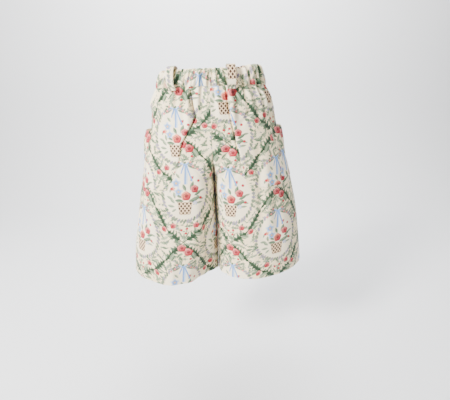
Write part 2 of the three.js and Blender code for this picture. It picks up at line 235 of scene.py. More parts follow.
def on_section(side_name, q, z):
    """Points at the shares q of one section, the level outward directions and the girth."""
    outline, along = section(side_name, float(z))
    girth = along[-1]
    reach = np.clip(q, 0, 1) * girth
    span = 2.5

    def at(distance):
        return np.stack([np.interp(distance, along, outline[:, k]) for k in (0, 1)], axis=-1)

    tangent = at(np.minimum(reach + span, girth)) - at(np.maximum(reach - span, 0))
    tangent /= np.linalg.norm(tangent, axis=-1, keepdims=True)
    outward = np.stack([tangent[..., 1], -tangent[..., 0]], axis=-1)
    return at(reach), outward, girth


def table_line(table, z):
    """Straight lines through a table of heights and distances, read at the height z."""
    return float(np.interp(-z, [-height for height, away in table], [away for height, away in table]))


def reach_of(side_name, z, away, is_back=False):
    """How far along the section the cloth stands `away` from the middle."""
    outline, along = section(side_name, float(z))
    xs = outline[:, 0]
    widest = int(np.argmax(xs))
    if is_back:
        return float(np.interp(away, xs[widest:][::-1], along[widest:][::-1]))
    return float(np.interp(away, xs[:widest + 1], along[:widest + 1]))


def lift(side_name, q, z):
    """How much higher than the level z the flared cloth hangs towards the side seam."""
    low = min(max((-z - CROTCH_DEPTH) / (LENGTH - CROTCH_DEPTH), 0), 1)
    return SIDE_LIFT * low * low * (1 - smoothstep(np.abs(q - SIDES[side_name]["seam"]), 0, 0.32))


def relief(side_name, q, z, girth):
    """How far the gathers, folds and creases move the cloth outwards."""
    x = SIDES[side_name]["x"]
    uneven = GATHER_UNEVENNESS * np.sin(11 * q + 2 * x)
    wave = np.cos(2 * math.pi * (2 * GATHERS_PER_PANEL * q + uneven))
    below = max(0, -z - BAND_HEIGHT) / GATHER_FADE
    held = 1 + (GATHERS_IN_BAND - 1) * smoothstep(z, -BAND_HEIGHT, -BAND_HEIGHT + 12)
    out = wave * held * GATHER_DEPTH * math.exp(-below * below)
    for fold in FOLDS:
        if fold["side"] != side_name or not fold["foot"] <= z <= fold["top"]:
            continue
        t = (z - fold["top"]) / (fold["foot"] - fold["top"])
        swell = smoothstep(t, 0, 0.25) * (1 - smoothstep(t, 0.6, 1))
        across = (q - (fold["at"] + (fold["to"] - fold["at"]) * t)) * girth / fold["width"]
        out = out + fold["depth"] * swell * np.exp(-across * across)
    for share, length, depth in PINCHES[side_name]:
        held = smoothstep(-z, BAND_HEIGHT - 3, BAND_HEIGHT + 6)
        fade = held * (1 - smoothstep(-z, BAND_HEIGHT + 0.25 * length, BAND_HEIGHT + length))
        if fade > 0:
            across = (q - share) * girth / PINCH_WIDTH
            out = out - depth * fade * np.exp(-across * across)
    for crease in CREASES:
        if crease["side"] != side_name or not crease["foot"] <= z <= crease["top"]:
            continue
        t = (z - crease["top"]) / (crease["foot"] - crease["top"])
        swell = smoothstep(t, 0, 0.3) * (1 - smoothstep(t, 0.6, 1))
        away = crease["out"][0] + (crease["out"][1] - crease["out"][0]) * t
        across = (q * girth - reach_of(side_name, z, away)) / crease["width"]
        out = out + crease["depth"] * swell * np.exp(-across * across)
    if z > FOLD_FOOT:
        past = q * girth - reach_of(side_name, z, table_line(FOLD_EDGE[side_name], z))
        lapped = smoothstep(-z, BAND_HEIGHT - 2, BAND_HEIGHT + 10) * (1 - smoothstep(-z, *FOLD_SPREAD))
        lapped = lapped * (q < FOLD_FRONT)
        valley = np.exp(-((past + FOLD_VALLEY_IN) / FOLD_VALLEY_WIDTH) ** 2)
        lip = smoothstep(past, -1.5, 1.5) * np.exp(-(np.maximum(past, 0) / FOLD_LIP_WIDTH) ** 2)
        out = out + lapped * (FOLD_LIP * lip - FOLD_VALLEY * valley)
    above_hem = (z + LENGTH - HEM) / HEM_DIP_WIDTH
    puckers = HEM_PUCKER * np.sin(q * girth / HEM_PUCKER_PITCH + 2.0 * np.sin(q * 31))
    out = out + (puckers - 0.6) * math.exp(-above_hem * above_hem)
    out = out + puckers * 0.6 * smoothstep(-z, LENGTH - HEM, LENGTH - HEM + 4)
    to_seam = np.abs(q - SIDES[side_name]["seam"]) * girth / SEAM_DIP_WIDTH
    return out - SEAM_DIP * np.exp(-to_seam * to_seam)


def cloth_row(side_name, q, z, out=0.0):
    """Points of the garment's outer face at the shares q of one level, in millimetres."""
    here, outward, girth = on_section(side_name, q, z)
    ease = smoothstep(np.minimum(q, 1 - q) * girth, 0, 14)
    moved = here + outward * (relief(side_name, q, z, girth) * ease + out)[..., None]
    x = SIDES[side_name]["x"] * np.maximum(moved[..., 0], SEAM_GAP / 2)
    return np.stack([x, moved[..., 1], z + lift(side_name, q, z)], axis=-1)


def take_up(piece):
    """Selects one piece alone, so that the next operator works on it."""
    bpy.ops.object.select_all(action="DESELECT")
    piece.select_set(True)
    bpy.context.view_layer.objects.active = piece


def grid_sheet(name, columns, rows):
    """A flat grid of cloth, ready to be hung: its object and the place of each point in it."""
    bpy.ops.object.select_all(action="DESELECT")
    bpy.ops.mesh.primitive_grid_add(x_subdivisions=columns, y_subdivisions=rows, size=1)
    sheet = bpy.context.object
    sheet.name = sheet.data.name = name
    flat = np.empty(3 * len(sheet.data.vertices))
    sheet.data.vertices.foreach_get("co", flat)
    flat = flat.reshape(-1, 3)
    column = np.rint((flat[:, 0] + 0.5) * columns).astype(int)
    row = np.rint((0.5 - flat[:, 1]) * rows).astype(int)
    return sheet, row, column


def hang(sheet, points):
    """Moves every point of a sheet to its place, given in millimetres."""
    sheet.data.vertices.foreach_set("co", (points * MM).ravel())
    sheet.data.update()


def give_thickness(sheet, thickness, facing):
    """Makes a sheet a wall with its face outwards, `thickness` millimetres thick inwards."""
    take_up(sheet)
    if facing < 0:
        sheet.data.flip_normals()
    solidify = sheet.modifiers.new("Cloth", "SOLIDIFY")
    solidify.thickness = thickness * MM
    solidify.offset = -1
    solidify.material_offset = 1
    solidify.material_offset_rim = 1
    bpy.ops.object.modifier_apply(modifier=solidify.name)
    bpy.ops.object.shade_smooth_by_angle(angle=math.radians(50))


# ------------------------------------------------------------------------------------------
# The cloth's print: a half-drop trellis of leaves, with a ribboned wreath round a basket of
# flowers in each opening and a pair of roses at each crossing. Its sizes are millimetres of
# flat cloth, and its motifs are drawn by formulas.

HALF_WIDTH = 147.0
HALF_DROP = 163.0
PETALS = 5
RING_CENTRE = (0.0, -8.0)
RING_HALF_WIDTH = 68.0
RING_HALF_HEIGHT = 87.0
RING_RADIUS = 72.0
RING_LEAVES = 46.0
ARM_SAG = 4.0
ARM_HOOK = 8.0
ARM_HOOK_RUN = 120.0
ARM_TOOTH = 12.0
ARM_STEM = 1.3
BASKET_CENTRE = (-1.0, -54.0)
BASKET_HALF_WIDTH = 19.0
BASKET_HALF_HEIGHT = 20.5
BASKET_FLARE = 0.16
CANE_PITCH = 14.5
CANE_SLOPE = 1.3
BOW_HEIGHT = 75.0


def ink(red, green, blue):
    """A printed colour given as 0 to 255, as the shader needs it."""
    return tuple(
        value / 12.92 if value <= 0.04045 else ((value + 0.055) / 1.055) ** 2.4
        for value in (red / 255, green / 255, blue / 255)
    ) + (1.0,)


CREAM = ink(253, 235, 196)
WARM_CREAM = ink(249, 228, 184)
OVAL_CREAM = ink(255, 240, 208)
PALE_SAGE = ink(160, 170, 138)
SAGE = ink(118, 134, 106)
MID_GREEN = ink(78, 104, 78)
DARK_GREEN = ink(40, 60, 42)
GREY_LILAC = ink(158, 142, 164)
ROSE_DEEP = ink(112, 20, 34)
ROSE = ink(178, 46, 56)
ROSE_LIGHT = ink(228, 128, 124)
CORAL_LIGHT = ink(240, 138, 112)
BLUE = ink(112, 152, 210)
PALE_BLUE = ink(196, 214, 236)
YELLOW = ink(224, 176, 104)
BASKET_BROWN = ink(66, 44, 34)
BASKET_PEACH = ink(236, 204, 164)


def feed(tree, slot, value):
    """Sets a node's input, or links it where the value is a wire."""
    if isinstance(value, Wire):
        tree.links.new(value.socket, slot)
    else:
        slot.default_value = value


class Wire:
    """One value inside a node group, so that the print's formulas read as arithmetic."""

    def __init__(self, tree, socket):
        self.tree = tree
        self.socket = socket

    def through(self, operation, *others):
        node = self.tree.nodes.new("ShaderNodeMath")
        node.operation = operation
        for slot, value in zip(node.inputs, (self, *others)):
            feed(self.tree, slot, value)
        return Wire(self.tree, node.outputs[0])

    def __add__(self, other):
        return self.through("ADD", other)

    def __sub__(self, other):
        return self.through("SUBTRACT", other)

    def __mul__(self, other):
        return self.through("MULTIPLY", other)

    def __neg__(self):
        return self.through("MULTIPLY", -1.0)

    def times_plus(self, factor, more):
        return self.through("MULTIPLY_ADD", factor, more)

    def size(self):
        return self.through("ABSOLUTE")

    def sine(self):
        return self.through("SINE")

    def part(self):
        return self.through("FRACT")

    def least(self, other):
        return self.through("MINIMUM", other)

    def most(self, other):
        return self.through("MAXIMUM", other)

    def wrapped(self, half):
        """The value brought between -half and half by whole repeats."""
        return self.through("WRAP", half, -half)

    def rising(self, start, end):
        """0 up to start, 1 from end on, and smooth between them."""
        node = self.tree.nodes.new("ShaderNodeMapRange")
        node.interpolation_type = "SMOOTHSTEP"
        self.tree.links.new(self.socket, node.inputs["Value"])
        node.inputs["From Min"].default_value = min(start, end)
        node.inputs["From Max"].default_value = max(start, end)
        node.inputs["To Min"].default_value = 0.0 if start < end else 1.0
        node.inputs["To Max"].default_value = 1.0 if start < end else 0.0
        return Wire(self.tree, node.outputs["Result"])

    def chosen(self, low, high):
        """low where this value is 0 and high where it is 1."""
        node = self.tree.nodes.new("ShaderNodeMix")
        node.data_type = "FLOAT"
        self.tree.links.new(self.socket, node.inputs[0])
        feed(self.tree, node.inputs[2], low)
        feed(self.tree, node.inputs[3], high)
        return Wire(self.tree, node.outputs[0])


def blend_inks(mask, under, over):
    """The colour `over` where the mask is 1, and `under` where it is 0."""
    node = mask.tree.nodes.new("ShaderNodeMix")
    node.data_type = "RGBA"
    mask.tree.links.new(mask.socket, node.inputs[0])
    feed(mask.tree, node.inputs[6], under)
    feed(mask.tree, node.inputs[7], over)
    return Wire(mask.tree, node.outputs[2])


def polar(x, y, at, wide=1.0, tall=1.0):
    """Distance from a place and the turn round it from 0 to 1, in units of wide and tall."""
    aside = x.times_plus(1 / wide, -at[0] / wide)
    above = y.times_plus(1 / tall, -at[1] / tall)
    joined = x.tree.nodes.new("ShaderNodeCombineXYZ")
    x.tree.links.new(aside.socket, joined.inputs[0])
    x.tree.links.new(above.socket, joined.inputs[1])
    length = x.tree.nodes.new("ShaderNodeVectorMath")
    length.operation = "LENGTH"
    x.tree.links.new(joined.outputs[0], length.inputs[0])
    radial = x.tree.nodes.new("ShaderNodeTexGradient")
    radial.gradient_type = "RADIAL"
    x.tree.links.new(joined.outputs[0], radial.inputs[0])
    return Wire(x.tree, length.outputs["Value"]), Wire(x.tree, radial.outputs["Fac"])


def draw_rose(cloth, x, y, at, radius, light=ROSE_LIGHT):
    """A rose seen from above: wavy edge, petals curling into a dark heart."""
    away, turn = polar(x, y, at, radius, radius)
    waves = (turn * (PETALS * 2 * math.pi)).sine()
    inside = away.times_plus(1.0, waves * 0.05).rising(1.0, 0.86)
    curl = (away.times_plus(2.0, waves * 0.1) - turn).part()
    lit = (x - y) * (0.5 / radius) + (at[1] - at[0]) * 0.5 / radius
    colour = blend_inks(lit.rising(0.45, -0.5), ROSE, light)
    crease = curl.rising(0.42, 0.1) * away.rising(1.02, 0.8)
    crease = crease.most(away.rising(0.46, 0.2))
    colour = blend_inks(crease * 0.85, colour, ROSE_DEEP)
    return blend_inks(inside, cloth, colour)


def draw_leaves(cloth, x, y, leaves, colour, lit):
    """Pointed leaves, each from a stalk at a place, turned by degrees, so long and so wide."""
    leaf, lit_half = None, None
    for at_x, at_y, degrees, length, width in leaves:
        c, s = math.cos(math.radians(degrees)), math.sin(math.radians(degrees))
        along = x.times_plus(c / length, y.times_plus(s / length, -(at_x * c + at_y * s) / length))
        across = x.times_plus(-s / width, y.times_plus(c / width, (at_x * s - at_y * c) / width))
        body = along * along.times_plus(-2.0, 2.0)
        inside = (body - across.size()).rising(0.0, 0.14)
        upper = inside * across.rising(-0.05, 0.05)
        leaf = inside if leaf is None else leaf.most(inside)
        lit_half = upper if lit_half is None else lit_half.most(upper)
    return blend_inks(leaf, cloth, blend_inks(lit_half, colour, lit))


def draw_dots(cloth, x, y, places, radius, colour):
    """Small round buds of one size."""
    nearest = None
    for at_x, at_y in places:
        dx = x - at_x
        dy = y - at_y
        square = dx.times_plus(dx, dy * dy)
        nearest = square if nearest is None else nearest.least(square)
    inside = nearest.rising(radius * radius, 0.55 * radius * radius)
    return blend_inks(inside, cloth, colour)


def draw_blossom(cloth, x, y, at, radius, petal, tip):
    """A flat flower of five petals with a yellow heart."""
    away, turn = polar(x, y, at, radius, radius)
    lobes = (turn * (PETALS * 2 * math.pi)).sine()
    inside = (away + lobes * 0.2).rising(0.86, 0.7)
    colour = blend_inks(away.rising(0.3, 0.85), petal, tip)
    colour = blend_inks(away.rising(0.3, 0.16), colour, YELLOW)
    return blend_inks(inside, cloth, colour)


def draw_sprigs(cloth, place, spacing, length, width, teeth, colours, seed):
    """Little leaves scattered over the ground, each turned its own way."""
    tree = cloth.tree
    shifted = tree.nodes.new("ShaderNodeVectorMath")
    shifted.operation = "ADD"
    tree.links.new(place.socket, shifted.inputs[0])
    shifted.inputs[1].default_value = (seed * 37.0, seed * 91.0, 0.0)
    cells = tree.nodes.new("ShaderNodeTexVoronoi")
    cells.voronoi_dimensions = "2D"
    cells.inputs["Scale"].default_value = 1 / spacing
    cells.inputs["Randomness"].default_value = 0.85
    tree.links.new(shifted.outputs[0], cells.inputs["Vector"])
    local = tree.nodes.new("ShaderNodeVectorMath")
    local.operation = "SUBTRACT"
    tree.links.new(shifted.outputs[0], local.inputs[0])
    tree.links.new(cells.outputs["Position"], local.inputs[1])
    chance = tree.nodes.new("ShaderNodeSeparateXYZ")
    tree.links.new(cells.outputs["Color"], chance.inputs[0])
    angle = Wire(tree, chance.outputs[0]) * (2 * math.pi)
    turned = tree.nodes.new("ShaderNodeVectorRotate")
    turned.rotation_type = "Z_AXIS"
    tree.links.new(local.outputs[0], turned.inputs["Vector"])
    tree.links.new(angle.socket, turned.inputs["Angle"])
    parts = tree.nodes.new("ShaderNodeSeparateXYZ")
    tree.links.new(turned.outputs[0], parts.inputs[0])
    along = Wire(tree, parts.outputs[0])
    across = Wire(tree, parts.outputs[1]).size()
    tooth = (across * 0.9 - along) * (1 / teeth)
    tooth = tooth.part().times_plus(-0.75, 1.0)
    middle = along * (2 / length)
    edge = (middle * middle).times_plus(-1.0, 1.0) * tooth * (width / 2)
    inside = (edge - across).rising(-0.3, 0.8)
    colour = blend_inks(Wire(tree, chance.outputs[1]), colours[0], colours[1])
    return inside, colour


cotton_print = bpy.data.node_groups.new("cotton_print", "ShaderNodeTree")
cotton_print.interface.new_socket("Place", in_out="INPUT", socket_type="NodeSocketVector")
cotton_print.interface.new_socket("Colour", in_out="OUTPUT", socket_type="NodeSocketColor")
group_in = cotton_print.nodes.new("NodeGroupInput")
group_out = cotton_print.nodes.new("NodeGroupOutput")
in_mm = cotton_print.nodes.new("ShaderNodeVectorMath")
in_mm.operation = "SCALE"
in_mm.inputs["Scale"].default_value = 1 / MM
cotton_print.links.new(group_in.outputs["Place"], in_mm.inputs[0])
place = Wire(cotton_print, in_mm.outputs[0])
split = cotton_print.nodes.new("ShaderNodeSeparateXYZ")
cotton_print.links.new(place.socket, split.inputs[0])
across_cloth = Wire(cotton_print, split.outputs[0])
up_cloth = Wire(cotton_print, split.outputs[1])

# The repeat: places in the nearest trellis opening (x, y) and from the nearest crossing.
even_x = across_cloth.wrapped(HALF_WIDTH)
even_y = up_cloth.wrapped(HALF_DROP)
odd_x = (across_cloth - HALF_WIDTH).wrapped(HALF_WIDTH)
odd_y = (up_cloth - HALF_DROP).wrapped(HALF_DROP)
reach = even_x.size() * (1 / HALF_WIDTH) + even_y.size() * (1 / HALF_DROP)
in_odd = reach.through("GREATER_THAN", 1.0)
x = in_odd.chosen(even_x, odd_x)
y = in_odd.chosen(even_y, odd_y)
reach = even_x.size() * (1 / HALF_WIDTH) + odd_y.size() * (1 / HALF_DROP)
from_odd = reach.through("GREATER_THAN", 1.0)
cross_x = from_odd.chosen(even_x, odd_x)
cross_y = from_odd.chosen(odd_y, even_y)

# The ground and its scattered leaves.
ground = cotton_print.nodes.new("ShaderNodeTexNoise")
ground.noise_dimensions = "2D"
ground.inputs["Scale"].default_value = 0.04
cotton_print.links.new(place.socket, ground.inputs["Vector"])
tint = Wire(cotton_print, ground.outputs["Fac"]).rising(0.3, 0.7)
cloth = blend_inks(tint, CREAM, WARM_CREAM)
ring_away, ring_turn = polar(x, y, RING_CENTRE, RING_HALF_WIDTH, RING_HALF_HEIGHT)
outside = ring_away.rising(0.9, 1.02)
# Each layer of sprigs: spacing, length, width, tooth, the two colours, and its chance seed.
for spacing, length, width, teeth, colours, seed in (
    (34.0, 38.0, 15.0, 9.0, (PALE_SAGE, SAGE), 1),
    (31.0, 32.0, 12.0, 8.0, (SAGE, MID_GREEN), 2),
    (19.0, 15.0, 5.5, 30.0, (PALE_SAGE, SAGE), 3),
    (27.0, 12.0, 4.5, 30.0, (GREY_LILAC, MID_GREEN), 4),
):
    inside, colour = draw_sprigs(cloth, place, spacing, length, width, teeth, colours, seed)
    cloth = blend_inks(inside * outside, cloth, colour)

# The trellis: serrated leaves along both diagonals, boldest near the crossings.
slope = math.hypot(1 / HALF_WIDTH, 1 / HALF_DROP)
arm_length = math.hypot(HALF_WIDTH, HALF_DROP)
lean_right = across_cloth * (1 / HALF_WIDTH) + up_cloth * (1 / HALF_DROP)
lean_left = across_cloth * (1 / HALF_WIDTH) - up_cloth * (1 / HALF_DROP)
lean_right = (lean_right - 1.0).wrapped(1.0)
lean_left = (lean_left - 1.0).wrapped(1.0)
up_right = (lean_right * 0.5).part() * arm_length
up_left = (lean_left * -0.5).part() * arm_length


def arm_bend(run):
    """How far an arm sags below its straight line, at a distance up it from a crossing."""
    near = (run * (math.pi / ARM_HOOK_RUN)).sine().most(0.0)
    return (run * (math.pi / arm_length)).sine() * ARM_SAG + near * ARM_HOOK


off_right = (lean_left * (1 / slope) - arm_bend(up_right)).size()
off_left = (lean_right * (1 / slope) + arm_bend(up_left)).size()
nearer = off_left.through("LESS_THAN", off_right)
off_arm = off_right.least(off_left)
run = nearer.chosen(up_right, up_left)
tooth = (run - off_arm * 0.8) * (1 / ARM_TOOTH)
tooth = tooth.part().times_plus(-0.8, 1.0)
# Each swelling of an arm: where its middle is, half its length and half its width.
swell = None
for middle, half, most in ((38, 27, 16.5), (100, 34, 12.0), (172, 37, 16.5)):
    part = (run - middle) * (1 / half)
    part = part.times_plus(part * -1.0, 1.0) * most
    swell = part if swell is None else swell.most(part)
edge = tooth * swell.most(0.0) + ARM_STEM
on_arm = (edge - off_arm).rising(-0.4, 0.9)
green = blend_inks((off_arm - edge * 0.4).rising(-1.0, 3.0), DARK_GREEN, MID_GREEN)
cloth = blend_inks(on_arm, cloth, green)
cloth = draw_leaves(cloth, cross_x.size(), cross_y, (
    (30, 26, -8, 30, 11), (26, -34, -64, 34, 12), (52, 74, 34, 26, 8), (70, 60, -20, 24, 8),
), PALE_SAGE, SAGE)

# The wreath: an oval left clear, with a ring of small leaves and lilac flowers round it.
cloth = blend_inks(ring_away.rising(0.94, 0.9), cloth, OVAL_CREAM)
ring_off = (ring_away - 1.0) * RING_RADIUS
beads = ring_turn * RING_LEAVES
bead_along = ring_off.times_plus(0.05, beads).part() - 0.5
bead_body = (bead_along * bead_along).times_plus(5.2, (ring_off * 0.155) * (ring_off * 0.155))
on_bead = bead_body.rising(1.0, 0.6)
kind = (beads.through("FLOOR") * 1.91).sine()
bead = blend_inks(kind.rising(-0.1, 0.0), GREY_LILAC, SAGE)
bead = blend_inks(kind.rising(0.8, 0.85), bead, MID_GREEN)
cloth = blend_inks(on_bead, cloth, bead)
cloth = blend_inks(ring_off.size().rising(1.3, 0.6), cloth, ink(120, 128, 112))

# Inside the wreath: sprays at the sides, the basket, and the flowers that fill it.
cloth = draw_leaves(cloth, x, y, (
    (-30, -48, 168, 24, 10), (-30, -38, 132, 24, 10), (-36, -24, 158, 22, 9), (-30, -24, 100, 22, 9),
    (-26, -54, 214, 18, 8), (-46, -6, 70, 16, 7), (36, -24, -14, 20, 8), (-14, 36, 130, 20, 8),
    (28, -40, 8, 24, 8), (38, -4, 12, 22, 8), (30, -14, -38, 18, 7), (14, 26, 56, 22, 7),
), PALE_SAGE, SAGE)
cloth = draw_leaves(cloth, x, y, (
    (-4, -32, 172, 28, 13), (8, -32, 10, 30, 13), (2, -2, 112, 24, 11), (14, 0, 70, 30, 12),
    (24, -16, 32, 30, 11), (18, -24, 2, 30, 10), (-10, -22, 142, 24, 10),
), MID_GREEN, SAGE)
basket_x = x - BASKET_CENTRE[0]
basket_y = y - BASKET_CENTRE[1]
side_limit = basket_y.times_plus(BASKET_FLARE, BASKET_HALF_WIDTH)
in_basket = (side_limit - basket_x.size()).rising(-0.6, 0.6)
in_basket = in_basket * basket_y.size().rising(BASKET_HALF_HEIGHT, BASKET_HALF_HEIGHT - 1.2)
cane_right = (basket_x.times_plus(CANE_SLOPE, basket_y) * (1 / CANE_PITCH)).part() - 0.5
cane_left = (basket_x.times_plus(CANE_SLOPE, -basket_y) * (1 / CANE_PITCH)).part() - 0.5
hole = cane_right.size().most(cane_left.size()).rising(0.4, 0.3)
basket = blend_inks(hole, BASKET_PEACH, BASKET_BROWN)
cloth = blend_inks(in_basket, cloth, basket)
cloth = draw_blossom(cloth, x, y, (-26, 22), 15.0, BLUE, PALE_BLUE)
cloth = draw_blossom(cloth, x, y, (-20, -3), 14.0, BLUE, PALE_BLUE)
cloth = draw_blossom(cloth, x, y, (-36, 6), 7.5, CORAL_LIGHT, ROSE_LIGHT)
cloth = draw_blossom(cloth, x, y, (28, -38), 8.0, PALE_BLUE, GREY_LILAC)
cloth = draw_rose(cloth, x, y, (27, 4), 12.5)
cloth = draw_rose(cloth, x, y, (2, -16), 15.0, CORAL_LIGHT)
cloth = draw_dots(cloth, x, y, ((38, 28), (45, -24), (20, 38), (-40, 6)), 4.6, ROSE)

# The bow that the wreath hangs from, with its two ribbon ends.
bow_x = x.size()
cloth = draw_leaves(cloth, bow_x, y, ((6, 78, 20, 26, 8), (6, 74, -24, 30, 7)), SAGE, MID_GREEN)
cloth = draw_leaves(cloth, x, y, ((-2, 80, 112, 24, 9), (14, 86, 40, 20, 7)), SAGE, PALE_SAGE)
cloth = draw_leaves(cloth, bow_x, y, ((1, 75, 32, 15, 7), (1, 73, -62, 22, 6)), BLUE, PALE_BLUE)
ends = y.rising(BOW_HEIGHT + 1, BOW_HEIGHT - 2)
drift = y.times_plus(-0.05, x) - 1.0
tail = drift.size().rising(5.4, 4.4) * ends * y.rising(17.0, 20.0)
tail_tint = blend_inks(drift.rising(-0.5, 1.5), BLUE, PALE_BLUE)
cloth = blend_inks(tail, cloth, tail_tint)
short_end = (x.times_plus(1.0, y * 0.32) - 28.5).size()
cloth = blend_inks(short_end.rising(2.8, 1.8) * ends * y.rising(25.0, 28.0), cloth, BLUE)
left_end = (x.times_plus(1.0, y * -0.34) + 27.5).size()
cloth = blend_inks(left_end.rising(2.2, 1.4) * ends * y.rising(48.0, 51.0), cloth, BLUE)
cloth = draw_dots(cloth, x, y, ((0, BOW_HEIGHT),), 4.0, BLUE)
cloth = draw_dots(cloth, bow_x, y, ((24, 70), (36, 62), (17, 84)), 3.6, ROSE_LIGHT)

# The crossing: buds on both arms of the V, small buds in it, and the pair of roses below.
fold_x = cross_x.size()
cloth = draw_leaves(cloth, fold_x, cross_y, (
    (30, 48, 70, 24, 9), (66, 44, 20, 20, 8), (24, -44, -62, 26, 9), (46, -22, -10, 24, 9),
), MID_GREEN, SAGE)
cloth = draw_leaves(cloth, cross_x, cross_y, (
    (-3, 12, 116, 28, 6), (3, 12, 62, 28, 6), (0, 10, 88, 22, 5), (-2, -36, -128, 26, 9),
), MID_GREEN, PALE_SAGE)
cloth = draw_rose(cloth, fold_x, cross_y, (34, 54), 9.6)
cloth = draw_rose(cloth, fold_x, cross_y, (62, 38), 9.2)
cloth = draw_dots(cloth, cross_x, cross_y, ((-8, 40), (8, 44), (6, 29), (22, -60)), 4.4, ROSE)
cloth = draw_rose(cloth, cross_x, cross_y, (15, -35), 14.0)
cloth = draw_rose(cloth, cross_x, cross_y, (-4, -21), 13.5)
cotton_print.links.new(cloth.socket, group_out.inputs["Colour"])

# The weave: warp and weft threads, felt as a fine unevenness.
cotton_weave = bpy.data.node_groups.new("cotton_weave", "ShaderNodeTree")
cotton_weave.interface.new_socket("Place", in_out="INPUT", socket_type="NodeSocketVector")
cotton_weave.interface.new_socket("Height", in_out="OUTPUT", socket_type="NodeSocketFloat")
weave_in = cotton_weave.nodes.new("NodeGroupInput")
weave_out = cotton_weave.nodes.new("NodeGroupOutput")
thread_split = cotton_weave.nodes.new("ShaderNodeSeparateXYZ")
cotton_weave.links.new(weave_in.outputs["Place"], thread_split.inputs[0])
THREADS_PER_METRE = 1800.0
warp = (Wire(cotton_weave, thread_split.outputs[0]) * (THREADS_PER_METRE * math.pi)).sine()
weft = (Wire(cotton_weave, thread_split.outputs[1]) * (THREADS_PER_METRE * math.pi)).sine()
slubs = cotton_weave.nodes.new("ShaderNodeTexNoise")
slubs.inputs["Scale"].default_value = 260.0
cotton_weave.links.new(weave_in.outputs["Place"], slubs.inputs["Vector"])
height = (warp * weft).times_plus(0.35, Wire(cotton_weave, slubs.outputs["Fac"]))
cotton_weave.links.new(height.socket, weave_out.inputs["Height"])


def cotton(name, wash):
    """Printed cotton; `wash` is how far the print is pale, as on the cloth's wrong side."""
    material = bpy.data.materials.new(name)
    material.use_nodes = True
    tree = material.node_tree
    shader = tree.nodes["Principled BSDF"]
    shader.inputs["Roughness"].default_value = 0.82
    shader.inputs["Sheen Weight"].default_value = 0.12
    shader.inputs["Sheen Roughness"].default_value = 0.5
    shader.inputs["Specular IOR Level"].default_value = 0.25
    laid = tree.nodes.new("ShaderNodeUVMap")
    laid.uv_map = "cloth"
    printed = tree.nodes.new("ShaderNodeGroup")
    printed.node_tree = cotton_print
    tree.links.new(laid.outputs["UV"], printed.inputs["Place"])
    paler = tree.nodes.new("ShaderNodeMix")
    paler.data_type = "RGBA"
    paler.inputs[0].default_value = wash
    tree.links.new(printed.outputs["Colour"], paler.inputs[6])
    paler.inputs[7].default_value = ink(228, 220, 200)
    tree.links.new(paler.outputs[2], shader.inputs["Base Color"])
    woven = tree.nodes.new("ShaderNodeGroup")
    woven.node_tree = cotton_weave
    tree.links.new(laid.outputs["UV"], woven.inputs["Place"])
    bump = tree.nodes.new("ShaderNodeBump")
    bump.inputs["Strength"].default_value = 0.25
    bump.inputs["Distance"].default_value = 0.0003
    tree.links.new(woven.outputs["Height"], bump.inputs["Height"])
    tree.links.new(bump.outputs["Normal"], shader.inputs["Normal"])
    return material


cotton_face = cotton("printed_cotton_face", 0.0)
cotton_reverse = cotton("printed_cotton_reverse", 0.62)

# Cream sewing thread, two plies twisted. The darker diagonal bands along the twist are painted shade in
# the grooves between the plies.
thread = bpy.data.materials.new("cream_thread")
thread.use_nodes = True
shader = thread.node_tree.nodes["Principled BSDF"]
shader.inputs["Roughness"].default_value = 0.55
thread_place = thread.node_tree.nodes.new("ShaderNodeTexCoord")
ply = thread.node_tree.nodes.new("ShaderNodeTexWave")
ply.bands_direction = "DIAGONAL"
ply.inputs["Scale"].default_value = 1400.0
thread.node_tree.links.new(thread_place.outputs["Object"], ply.inputs["Vector"])
twist_painted_shade = thread.node_tree.nodes.new("ShaderNodeMix")
twist_painted_shade.data_type = "RGBA"
# The darker colour is painted shade between the plies; the lighter is the thread's own cream.
twist_painted_shade.inputs[6].default_value = ink(206, 190, 158)
twist_painted_shade.inputs[7].default_value = ink(244, 234, 208)
thread.node_tree.links.new(ply.outputs["Fac"], twist_painted_shade.inputs[0])
thread.node_tree.links.new(twist_painted_shade.outputs[2], shader.inputs["Base Color"])

STITCH = 3.0
STITCH_PITCH = 3.9
STITCH_SINK = 0.2
STITCH_RISE = 0.1
STITCH_SHOULDERS = (0.2, 0.8)
THREAD = 0.26
STITCH_LIFT = 0.1
HEM_STITCHED = (0.004, 0.996)
HEM_STITCH_CLEAR = 0.003


def sew(name, seams):
    """Rows of stitches: each seam gives the points under and over it for shares from 0 to 1."""
    starts, ends, ups = [], [], []
    for surface, length in seams:
        count = max(int(length / STITCH_PITCH), 2)
        middle = (np.arange(count) + 0.5) / count
        half = STITCH / 2 / length
        starts.append(surface(middle - half, 0.0))
        ends.append(surface(middle + half, 0.0))
        up = surface(middle, 1.0) - surface(middle, 0.0)
        ups.append(up / np.linalg.norm(up, axis=1, keepdims=True))
    start, end, up = (np.concatenate(parts) for parts in (starts, ends, ups))
    aside = np.cross(end - start, up)
    aside /= np.linalg.norm(aside, axis=1, keepdims=True)
    corners = [start - STITCH_SINK * up]
    for share in STITCH_SHOULDERS:
        centre = start + share * (end - start) + STITCH_RISE * up
        corners += [centre + THREAD * aside, centre + THREAD * up]
        corners += [centre - THREAD * aside, centre - THREAD * up]
    corners.append(end - STITCH_SINK * up)
    points = np.stack(corners, axis=1).reshape(-1, 3)
    faces = []
    for stitch in range(len(start)):
        first = 10 * stitch
        for k in range(4):
            a, b = first + 1 + k, first + 1 + (k + 1) % 4
            faces += [(first, b, a), (a, b, b + 4, a + 4), (a + 4, b + 4, first + 9)]
    mesh = bpy.data.meshes.new(name)
    mesh.from_pydata((points * MM).tolist(), [], faces)
    mesh.materials.append(thread)
    stitches = bpy.data.objects.new(name, mesh)
    bpy.context.collection.objects.link(stitches)
    take_up(stitches)
    bpy.ops.object.shade_smooth_by_angle(angle=math.radians(60))
    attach(stitches, "root")
    return stitches


